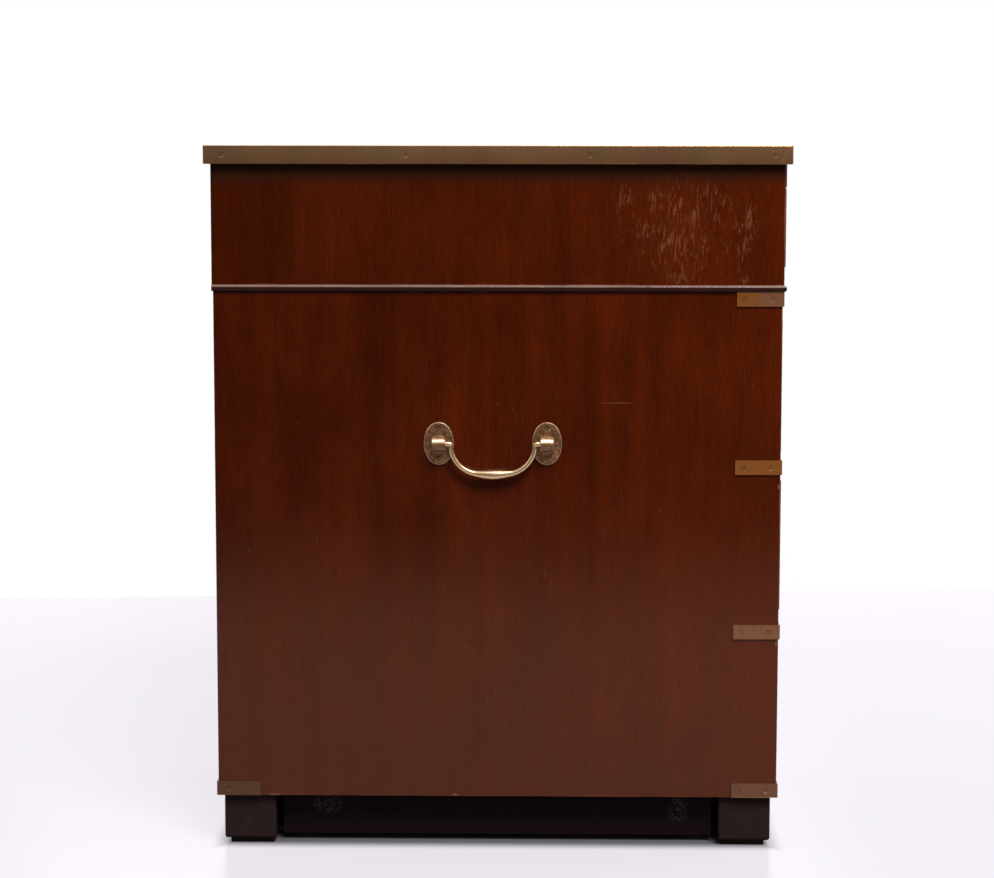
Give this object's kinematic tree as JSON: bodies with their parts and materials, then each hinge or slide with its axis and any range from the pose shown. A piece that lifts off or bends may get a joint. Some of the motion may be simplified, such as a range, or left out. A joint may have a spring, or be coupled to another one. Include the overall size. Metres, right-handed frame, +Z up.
{
  "type": "campaign desk",
  "caption": "Pedestal campaign desk in mahogany: top section with three drawers on two drawer pedestals, brass straps, flush pulls and carrying handles.",
  "frame": {"origin": "on the floor, under the middle of the desk", "axes": "+X along the desk, left to right; the drawers face -Y; +Z up"},
  "size_m": [1.2364, 0.625, 0.7605],
  "materials": {
    "mahogany": "glossy worn varnish",
    "ebonised_wood": "satin",
    "drawer_oak": "bare",
    "leather": "satin",
    "brass": "patinated"
  },
  "bodies": {
    "left_pedestal": {"left_pedestal_sides": "mahogany", "left_pedestal_back": "mahogany", "left_pedestal_boards": "mahogany", "left_pedestal_feet": "ebonised_wood", "left_pedestal_straps": "brass", "left_handle_plates": "brass"},
    "top_section": {"top_board": "mahogany", "writing_panel": "leather", "top_edge_brass": "brass", "frieze_ends": "mahogany", "frieze_back": "mahogany", "frieze_base": "mahogany", "frieze_framing": "mahogany", "base_lip": "mahogany", "locating_pegs": "drawer_oak"},
    "right_pedestal": {"right_pedestal_sides": "mahogany", "right_pedestal_back": "mahogany", "right_pedestal_boards": "mahogany", "right_pedestal_feet": "ebonised_wood", "right_pedestal_straps": "brass", "right_handle_plates": "brass"},
    "left_handle": {"left_handle_bail": "brass"},
    "right_handle": {"right_handle_bail": "brass"},
    "centre_drawer": {"centre_drawer_front": "mahogany", "centre_drawer_box": "drawer_oak", "centre_drawer_pull": "brass"},
    "centre_drawer_bail_left_body": {"centre_drawer_bail_left": "brass"},
    "centre_drawer_bail_right_body": {"centre_drawer_bail_right": "brass"},
    "left_top_drawer": {"left_top_drawer_front": "mahogany", "left_top_drawer_box": "drawer_oak", "left_top_drawer_pull": "brass"},
    "left_top_drawer_bail_body": {"left_top_drawer_bail": "brass"},
    "left_lower_drawer": {"left_lower_drawer_front": "mahogany", "left_lower_drawer_box": "drawer_oak", "left_lower_drawer_pull": "brass"},
    "left_lower_drawer_bail_body": {"left_lower_drawer_bail": "brass"},
    "left_middle_drawer": {"left_middle_drawer_front": "mahogany", "left_middle_drawer_box": "drawer_oak", "left_middle_drawer_pull": "brass"},
    "left_middle_drawer_bail_body": {"left_middle_drawer_bail": "brass"},
    "left_upper_drawer": {"left_upper_drawer_front": "mahogany", "left_upper_drawer_box": "drawer_oak", "left_upper_drawer_pull": "brass"},
    "left_upper_drawer_bail_body": {"left_upper_drawer_bail": "brass"},
    "right_top_drawer": {"right_top_drawer_front": "mahogany", "right_top_drawer_box": "drawer_oak", "right_top_drawer_pull": "brass"},
    "right_top_drawer_bail_body": {"right_top_drawer_bail": "brass"},
    "right_lower_drawer": {"right_lower_drawer_front": "mahogany", "right_lower_drawer_box": "drawer_oak", "right_lower_drawer_pull": "brass"},
    "right_lower_drawer_bail_body": {"right_lower_drawer_bail": "brass"},
    "right_middle_drawer": {"right_middle_drawer_front": "mahogany", "right_middle_drawer_box": "drawer_oak", "right_middle_drawer_pull": "brass"},
    "right_middle_drawer_bail_body": {"right_middle_drawer_bail": "brass"},
    "right_upper_drawer": {"right_upper_drawer_front": "mahogany", "right_upper_drawer_box": "drawer_oak", "right_upper_drawer_pull": "brass"},
    "right_upper_drawer_bail_body": {"right_upper_drawer_bail": "brass"}
  },
  "joints": [
    {"name": "top_lift", "type": "slide", "parent": "left_pedestal", "child": "top_section", "axis": [0, 0, 1], "range_m": [0, 0.1]},
    {"name": "right_pedestal_lift_off", "type": "slide", "parent": "top_section", "child": "right_pedestal", "axis": [0, 0, -1], "range_m": [0, 0.1]},
    {"name": "left_handle_swing", "type": "hinge", "parent": "left_pedestal", "child": "left_handle", "pos_m": [-0.61, 0.0047, 0.443], "axis": [0, 1, 0], "range_deg": [0, 100]},
    {"name": "right_handle_swing", "type": "hinge", "parent": "right_pedestal", "child": "right_handle", "pos_m": [0.61, 0.0047, 0.443], "axis": [0, -1, 0], "range_deg": [0, 100]},
    {"name": "centre_drawer_slide", "type": "slide", "parent": "top_section", "child": "centre_drawer", "axis": [0, -1, 0], "range_m": [0, 0.38]},
    {"name": "centre_drawer_pull_left_swing", "type": "hinge", "parent": "centre_drawer", "child": "centre_drawer_bail_left_body", "pos_m": [-0.125, -0.3051, 0.6835], "axis": [-1, 0, 0], "range_deg": [0, 90]},
    {"name": "centre_drawer_pull_right_swing", "type": "hinge", "parent": "centre_drawer", "child": "centre_drawer_bail_right_body", "pos_m": [0.125, -0.3051, 0.6835], "axis": [-1, 0, 0], "range_deg": [0, 90]},
    {"name": "left_top_drawer_slide", "type": "slide", "parent": "top_section", "child": "left_top_drawer", "axis": [0, -1, 0], "range_m": [0, 0.38]},
    {"name": "left_top_drawer_pull_swing", "type": "hinge", "parent": "left_top_drawer", "child": "left_top_drawer_bail_body", "pos_m": [-0.42485, -0.3051, 0.6835], "axis": [-1, 0, 0], "range_deg": [0, 90]},
    {"name": "left_lower_drawer_slide", "type": "slide", "parent": "left_pedestal", "child": "left_lower_drawer", "axis": [0, -1, 0], "range_m": [0, 0.38]},
    {"name": "left_lower_drawer_pull_swing", "type": "hinge", "parent": "left_lower_drawer", "child": "left_lower_drawer_bail_body", "pos_m": [-0.4242, -0.3028, 0.167], "axis": [-1, 0, 0], "range_deg": [0, 90]},
    {"name": "left_middle_drawer_slide", "type": "slide", "parent": "left_pedestal", "child": "left_middle_drawer", "axis": [0, -1, 0], "range_m": [0, 0.38]},
    {"name": "left_middle_drawer_pull_swing", "type": "hinge", "parent": "left_middle_drawer", "child": "left_middle_drawer_bail_body", "pos_m": [-0.4242, -0.3036, 0.3405], "axis": [-1, 0, 0], "range_deg": [0, 90]},
    {"name": "left_upper_drawer_slide", "type": "slide", "parent": "left_pedestal", "child": "left_upper_drawer", "axis": [0, -1, 0], "range_m": [0, 0.38]},
    {"name": "left_upper_drawer_pull_swing", "type": "hinge", "parent": "left_upper_drawer", "child": "left_upper_drawer_bail_body", "pos_m": [-0.4242, -0.303, 0.514], "axis": [-1, 0, 0], "range_deg": [0, 90]},
    {"name": "right_top_drawer_slide", "type": "slide", "parent": "top_section", "child": "right_top_drawer", "axis": [0, -1, 0], "range_m": [0, 0.38]},
    {"name": "right_top_drawer_pull_swing", "type": "hinge", "parent": "right_top_drawer", "child": "right_top_drawer_bail_body", "pos_m": [0.42485, -0.3051, 0.6835], "axis": [-1, 0, 0], "range_deg": [0, 90]},
    {"name": "right_lower_drawer_slide", "type": "slide", "parent": "right_pedestal", "child": "right_lower_drawer", "axis": [0, -1, 0], "range_m": [0, 0.38]},
    {"name": "right_lower_drawer_pull_swing", "type": "hinge", "parent": "right_lower_drawer", "child": "right_lower_drawer_bail_body", "pos_m": [0.4242, -0.3028, 0.167], "axis": [-1, 0, 0], "range_deg": [0, 90]},
    {"name": "right_middle_drawer_slide", "type": "slide", "parent": "right_pedestal", "child": "right_middle_drawer", "axis": [0, -1, 0], "range_m": [0, 0.38]},
    {"name": "right_middle_drawer_pull_swing", "type": "hinge", "parent": "right_middle_drawer", "child": "right_middle_drawer_bail_body", "pos_m": [0.4242, -0.3036, 0.3405], "axis": [-1, 0, 0], "range_deg": [0, 90]},
    {"name": "right_upper_drawer_slide", "type": "slide", "parent": "right_pedestal", "child": "right_upper_drawer", "axis": [0, -1, 0], "range_m": [0, 0.38]},
    {"name": "right_upper_drawer_pull_swing", "type": "hinge", "parent": "right_upper_drawer", "child": "right_upper_drawer_bail_body", "pos_m": [0.4242, -0.303, 0.514], "axis": [-1, 0, 0], "range_deg": [0, 90]}
  ],
  "couplings": [
    {"joint": "right_pedestal_lift_off", "follows": "top_lift", "ratio": 1}
  ]
}
